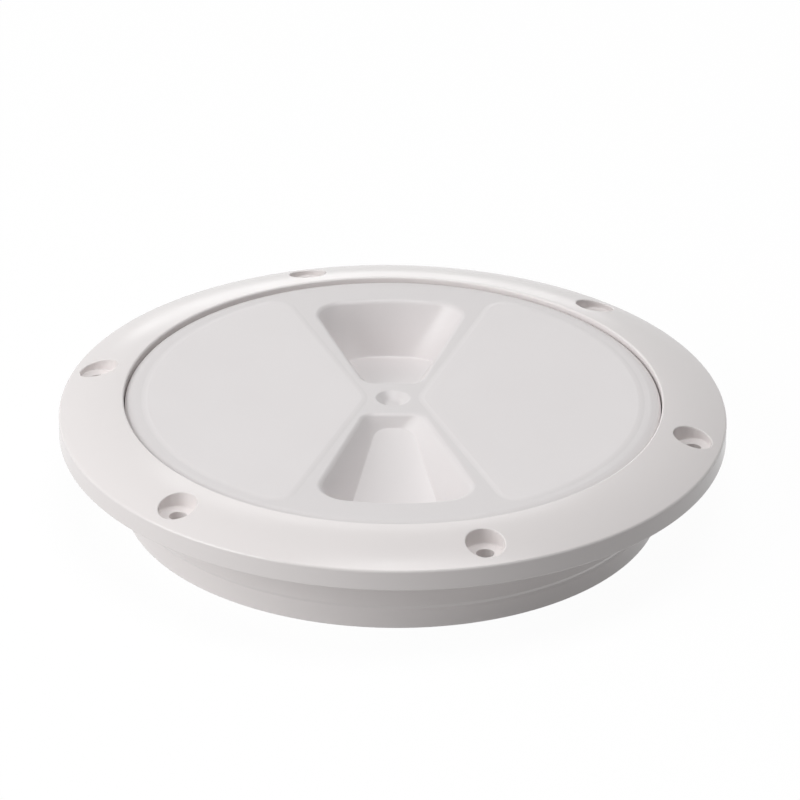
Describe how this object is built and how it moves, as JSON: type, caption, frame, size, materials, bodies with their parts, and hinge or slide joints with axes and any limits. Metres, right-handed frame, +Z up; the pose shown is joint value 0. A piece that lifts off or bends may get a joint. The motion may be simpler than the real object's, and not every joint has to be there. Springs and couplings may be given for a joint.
{
  "type": "deck inspection plate",
  "caption": "Round white screw-in deck inspection plate: domed flange with counterbored screw holes, collar through the deck, and a flat lid with two finger pockets and an inner seal.",
  "frame": {"origin": "centre of the plate in the plane of the flange's underside, which lies on the deck", "axes": "+Z up out of the deck along the lid's screw axis; the two finger pockets of the closed lid lie along Y"},
  "size_m": [0.171, 0.171, 0.0296],
  "materials": {
    "ring_plastic": "satin white moulded plastic",
    "lid_plastic": "satin white moulded plastic",
    "seal_rubber": "smooth black rubber"
  },
  "bodies": {
    "ring": {"deck_ring": "ring_plastic"},
    "seal": {"seal_ring": "seal_rubber"},
    "lid": {"lid": "lid_plastic"}
  },
  "joints": [
    {"name": "lid_rise", "type": "slide", "parent": "ring", "child": "seal", "axis": [0, 0, 1], "range_m": [0, 0.0075]},
    {"name": "lid_turn", "type": "hinge", "parent": "seal", "child": "lid", "pos_m": [0, 0, 0], "axis": [0, 0, 1], "range_deg": [0, 540]}
  ],
  "couplings": [
    {"joint": "lid_rise", "follows": "lid_turn", "m_per_rad": 0.00079577}
  ]
}
